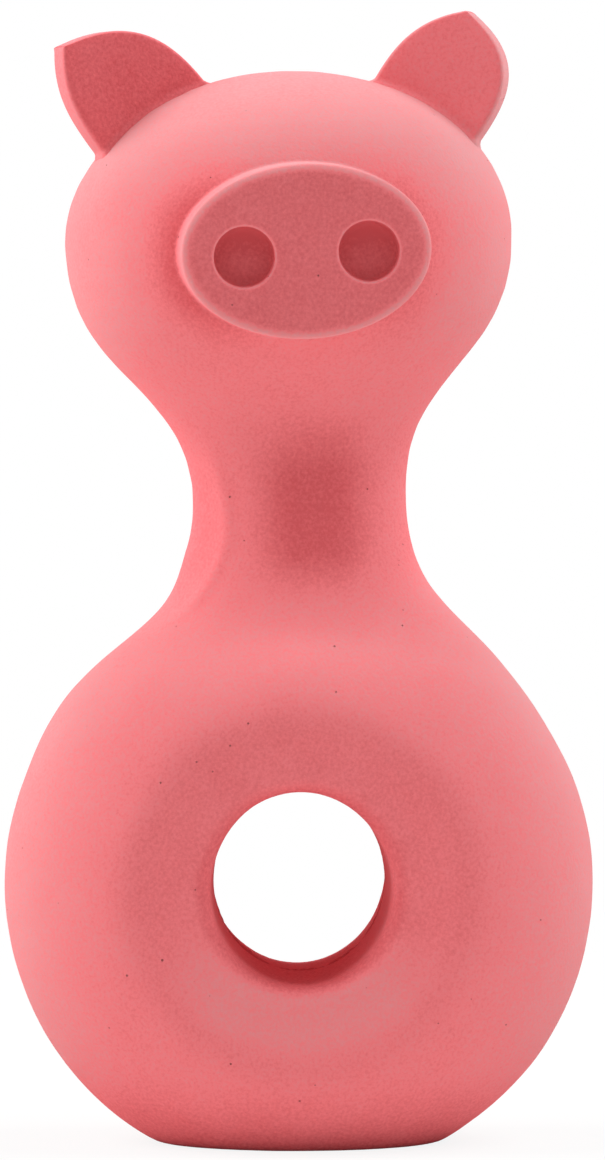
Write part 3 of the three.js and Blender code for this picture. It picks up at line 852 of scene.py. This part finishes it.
class PIGTOY_OT_ears(bpy.types.Operator):
    """Make the two ear flaps"""
    bl_idname = "pigtoy.ears"
    bl_label = "Ears"

    def execute(self, context):
        toy = context.scene.pig_toy
        skin = skin_tree(context)
        for number, (name, side) in enumerate(SIDES.items()):
            self.ear(toy, skin, name, side, number)
        return {"FINISHED"}

    def stand(self, toy, side, spread):
        """Frame at an ear's root: x outwards along it, y up the ear, z through it."""
        head, ears = toy.head, toy.ears
        out = Vector((
            side * head.width / 2 * math.cos(spread), 0, -head.crown * math.sin(spread))).normalized()
        up = Vector((-side * out.z, 0, side * out.x))
        basis = Matrix((out, up, out.cross(up))).transposed().to_4x4()
        root = Matrix.Translation((
            head.aside + side * head.width / 2 * math.sin(spread), head.set_back,
            head.rise + head.crown * math.cos(spread)))
        turn = Matrix.Rotation(-side * ears.turn, 4, "Y") @ Matrix.Rotation(side * ears.lean, 4, "X")
        return set_of_neck(toy, 1) @ root @ basis @ turn

    def outline(self):
        """Points round an oblong with round corners: place on the sharp one inside it, and facing."""
        corners = [Vector((1, -1)), Vector((1, 1)), Vector((-1, 1)), Vector((-1, -1))]
        points = []
        for number, corner in enumerate(corners):
            for turn in steps((number - 1) * math.pi / 2, number * math.pi / 2, 5):
                facing = Vector((math.cos(turn), math.sin(turn)))
                points.append((corner, facing))
            for part in steps(0, 1, 14 if number % 2 else 4)[1:-1]:
                points.append((corner.lerp(corners[(number + 1) % 4], part), facing))
        return points

    def ear(self, toy, skin, name, side, number):
        ears = toy.ears
        stand = self.stand(toy, side, ears.spread[number])
        inverse = stand.inverted()
        down = -(stand.to_3x3() @ Vector((0, 1, 0))).normalized()
        half = ears.width[number] / 2
        tip = Vector((ears.tip_out[number], ears.tip_rise[number]))
        blunt = Vector((ears.tip / 2, 0))

        def side_of(corner, end, bulge):
            """One edge of the leaf, from a corner of the root to the tip, at a share of its way."""
            chord = end - corner
            bend = (corner + end) / 2 + Vector((-chord.y, chord.x)).normalized() * 2 * bulge
            return lambda part: corner.lerp(bend, part).lerp(bend.lerp(end, part), part)

        inner = side_of(Vector((-half, 0)), tip - blunt, ears.inner_bulge[number])
        outer = side_of(Vector((half, 0)), tip + blunt, -ears.outer_bulge[number])

        def root_at(across):
            """Height of the head's surface in the ear's frame."""
            hit = skin.ray_cast(stand @ Vector((across, 10 * MM, 0)), down)[0]
            if hit is None:
                raise RuntimeError("an ear stands beside the head")
            return (inverse @ hit).y - ears.sunk

        outline = self.outline()

        def point_of(a):
            return outline[round(a / (2 * math.pi) * len(outline)) % len(outline)]

        def section(part):
            """Places round a section of the flap, at a share of its way from the root to the tip."""
            left, right = inner(part), outer(part)
            full = (right - left).length / 2
            soft = min(ears.rounding, 0.8 * full)

            def place(a):
                flat, facing = point_of(a)
                across = (flat.x * (full - soft) + facing.x * soft) / full
                leaf = left.lerp(right, (across + 1) / 2)
                leaf.y += root_at(across * half) * (1 - part) ** 5
                return Vector((leaf.x, leaf.y, flat.y * (ears.thickness / 2 - soft) + facing.y * soft))
            return place

        bm = bmesh.new()
        mark = bm.verts.layers.float.new("angle")
        bloom_and_light = bm.verts.layers.float.new("bloom_and_light")
        places = [section(part ** 1.6) for part in steps(0, 1, EAR_STEPS)]
        first = loop(bm, len(outline), places[0], mark)
        bmesh.ops.edgeloop_fill(bm, edges=first)
        bmesh.ops.edgeloop_fill(bm, edges=sweep(bm, first, places[1:], mark))
        for corner in bm.verts:
            # Painted light and shade: the flap's side walls paler, the left ear darker than the right
            corner[bloom_and_light] = 0.33 + 0.18 * side + 0.5 * abs(point_of(corner[mark])[1].x)
        outwards(bm)
        bm.verts.layers.float.remove(mark)
        bmesh.ops.transform(bm, matrix=stand, verts=bm.verts[:])
        bm.normal_update()
        moves = {}
        for corner in bm.verts:
            closest, normal, _, _ = skin.find_nearest(corner.co)
            clear = (corner.co - closest).dot(normal)
            if clear < ears.fillet:
                level = corner.normal - corner.normal.project(normal)
                moves[corner] = level * ears.fillet * (1 - max(clear, 0) / ears.fillet) ** 2.4
        for corner, move in moves.items():
            corner.co += move
        ear = piece_from("ear_flap_" + name, bm, dyed_latex(toy.latex), crease=60)
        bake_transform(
            ear, "head", name + "_ear", start=stand @ Vector((0, 0, 0)),
            end=stand @ Vector((0, ears.web, 0)))
        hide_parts("ear_" + name, "ear_" + name + "_root")


class PIGTOY_OT_filling(bpy.types.Operator):
    """Make the fibre filling"""
    bl_idname = "pigtoy.filling"
    bl_label = "Filling"

    def execute(self, context):
        toy = context.scene.pig_toy
        latex, seat = toy.latex, toy.squeaker
        wad = moulding(toy, "fibre_filling", polyester_wadding(latex), FILLING_VOXEL)
        softened(toy, wad, 1, 0)
        bm = bmesh.new()
        bm.from_mesh(wad.data)
        bm.normal_update()
        for corner in bm.verts:
            lump = 0.5 + 0.5 * noise.noise(corner.co / (7 * MM)) + 0.3 * noise.noise(corner.co / (2.5 * MM))
            corner.co -= corner.normal * (latex.wall + latex.gap + MM * max(lump, 0))
        for corner in bm.verts:
            corner.co.z = settled(corner.co.z, latex.foot + latex.gap, MM)
        bm.to_mesh(wad.data)
        bm.free()
        cut(wad, [
            (0, 0, 0), (seat.pocket, 0, 0), (seat.pocket, 0, seat.pocket_top), (0, 0, seat.pocket_top)])
        wad.data.shade_smooth()
        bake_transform(wad, "ring", "head", start=(0, 0, toy.neck.bottom), end=(0, 0, toy.neck.top))
        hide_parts("ring_filling", "neck_filling", "head_filling")
        return {"FINISHED"}


class PIGTOY_OT_squeaker(bpy.types.Operator):
    """Make the squeaker's plug and finish its pipe, wedge and reed"""
    bl_idname = "pigtoy.squeaker"
    bl_label = "Squeaker"

    def execute(self, context):
        toy = context.scene.pig_toy
        latex, plug = toy.latex, toy.squeaker
        above = plug.recess + plug.flange_thick
        profile = [
            (plug.socket, plug.recess), (plug.flange, plug.recess), (plug.flange, above),
            (plug.neck, above), (plug.neck, plug.barb_low), (plug.barb, plug.barb_low),
            (plug.neck, plug.barb_high), (plug.socket, plug.barb_high)]
        bm = bmesh.new()
        turned(bm, [Vector((r, 0, z)) for r, z in profile], (0, 0, 0), (0, 0, 1), ROUND_STEPS)
        outwards(bm)
        corners = [edge for edge in bm.edges if edge.calc_face_angle(0) > math.radians(30)]
        bmesh.ops.bevel(
            bm, geom=corners, offset=0.25 * MM, affect="EDGES", segments=3, profile=0.5, material=-1)
        made = piece_from(
            "squeaker_stopper", bm, moulded_plastic("low_density_polyethylene", latex.plug, 0.5))
        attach(made, "ring")
        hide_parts("squeaker_plug")
        hard = moulded_plastic("polystyrene", latex.pipe, 0.35)
        film = moulded_plastic("polyester_film", latex.reed, 0.3)
        for node, finish in (("reed_pipe", hard), ("reed_wedge", hard), ("squeaker_reed", film)):
            materials = frame["nodes"][node].data.materials
            materials.clear()
            materials.append(finish)
        return {"FINISHED"}


class PIGTOY_OT_stage(bpy.types.Operator):
    """Make the floor, the lamps, the white surround and the camera"""
    bl_idname = "pigtoy.stage"
    bl_label = "Stage"

    def execute(self, context):
        stage = context.scene.pig_toy.stage
        context.scene.view_settings.view_transform = "Standard"
        self.floor(stage)
        self.surround(context, stage)
        self.lamp(context, "left_softbox", stage.left, -math.pi / 2, stage.left_height)
        right = self.lamp(context, "right_softbox", stage.right, math.pi / 2, stage.right_height)
        right.data.color = stage.right_tint[:3]
        self.camera(context, stage)
        return {"FINISHED"}

    def seen(self, tree):
        """1 on rays that show a background: straight to the camera, or by way of gloss or glass."""
        path = add(tree, "LightPath").outputs
        shown = path["Is Camera Ray"]
        for ray in ("Is Glossy Ray", "Is Transmission Ray"):
            shown = add(tree, "Math", {"operation": "MAXIMUM"}, {0: shown, 1: path[ray]}).outputs[0]
        return shown

    def floor(self, stage):
        made, tree, place = new_material("white_card")
        card = add(tree, "BsdfDiffuse", sockets={"Color": linear("#f4f3f1")})
        white = add(tree, "Emission", sockets={"Strength": 1})
        away = add(tree, "VectorMath", {"operation": "LENGTH"}, {0: place})
        far = add(tree, "MapRange", {"interpolation_type": "SMOOTHSTEP"}, {
            "Value": away.outputs["Value"], "From Min": stage.shadow_near, "From Max": stage.shadow_far,
            "To Min": 1 - stage.shadow})
        plain = add(tree, "Math", {"operation": "MULTIPLY"}, {0: far.outputs[0], 1: self.seen(tree)})
        both = add(tree, "MixShader", sockets={
            0: plain.outputs[0], 1: card.outputs[0], 2: white.outputs[0]})
        add(tree, "OutputMaterial", sockets={"Surface": both.outputs[0]})
        bm = bmesh.new()
        bmesh.ops.create_grid(bm, x_segments=1, y_segments=1, size=6)
        piece_from("floor_card", bm, made)

    def surround(self, context, stage):
        world = bpy.data.worlds.new("white_surround")
        world.use_nodes = True
        tree = world.node_tree
        tree.nodes.clear()
        light = add(tree, "Background", sockets={"Color": (1, 1, 1, 1), "Strength": stage.fill})
        white = add(tree, "Background", sockets={"Color": (1, 1, 1, 1), "Strength": 1})
        both = add(tree, "MixShader", sockets={
            0: self.seen(tree), 1: light.outputs[0], 2: white.outputs[0]})
        add(tree, "OutputWorld", sockets={"Surface": both.outputs[0]})
        context.scene.world = world

    def placed(self, context, data, aim, azimuth, elevation, distance):
        """A lamp or camera that looks at a point; azimuth 0 is in front of the face."""
        back = Vector((
            math.sin(azimuth) * math.cos(elevation), -math.cos(azimuth) * math.cos(elevation),
            math.sin(elevation)))
        made = bpy.data.objects.new(data.name, data)
        made.location = aim + back * distance
        made.rotation_euler = (-back).to_track_quat("-Z", "Y").to_euler()
        context.scene.collection.objects.link(made)
        return made

    def lamp(self, context, name, power, azimuth, elevation):
        stage = context.scene.pig_toy.stage
        data = bpy.data.lights.new(name, "AREA")
        data.energy = power
        data.size = stage.softbox
        aim = Vector((0, 0, stage.aim_height))
        lamp = self.placed(context, data, aim, azimuth, elevation, stage.lamp_distance)
        lamp.visible_camera = False
        return lamp

    def camera(self, context, stage):
        data = bpy.data.cameras.new("camera")
        data.sensor_fit = "VERTICAL"
        data.sensor_height = data.sensor_width
        data.lens = data.sensor_height * stage.distance / stage.view_height
        aim = Vector((stage.aim_side, 0, stage.aim_height))
        context.scene.camera = self.placed(
            context, data, aim, stage.azimuth, stage.elevation, stage.distance)


class PIGTOY_PT_panel(bpy.types.Panel):
    """Operators and sizes of the toy"""
    bl_idname = "PIGTOY_PT_panel"
    bl_label = "Pig Toy"
    bl_space_type = "VIEW_3D"
    bl_region_type = "UI"
    bl_category = "Pig Toy"

    def draw(self, context):
        for operator in OPERATORS:
            self.layout.operator(operator.bl_idname)
        for group in PigToySettings.__annotations__:
            box = self.layout.box()
            box.label(text=group.title())
            sizes = getattr(context.scene.pig_toy, group)
            for size in type(sizes).__annotations__:
                box.prop(sizes, size)


GROUPS = (
    RingSizes, NeckSizes, HeadSizes, EarSizes, LatexSizes, SqueakerSizes, StageSizes, PigToySettings)
OPERATORS = (
    PIGTOY_OT_skin, PIGTOY_OT_flash, PIGTOY_OT_snout, PIGTOY_OT_ears, PIGTOY_OT_filling,
    PIGTOY_OT_squeaker, PIGTOY_OT_stage)
CLASSES = GROUPS + OPERATORS + (PIGTOY_PT_panel,)


def register():
    for made in CLASSES:
        bpy.utils.register_class(made)
    bpy.types.Scene.pig_toy = PointerProperty(type=PigToySettings)


def unregister():
    del bpy.types.Scene.pig_toy
    for made in reversed(CLASSES):
        bpy.utils.unregister_class(made)


def main():
    register()
    bpy.ops.pigtoy.skin()
    bpy.ops.pigtoy.flash()
    bpy.ops.pigtoy.snout()
    bpy.ops.pigtoy.ears()
    bpy.ops.pigtoy.filling()
    bpy.ops.pigtoy.squeaker()
    bpy.ops.pigtoy.stage()


if __name__ == "__main__":
    main()
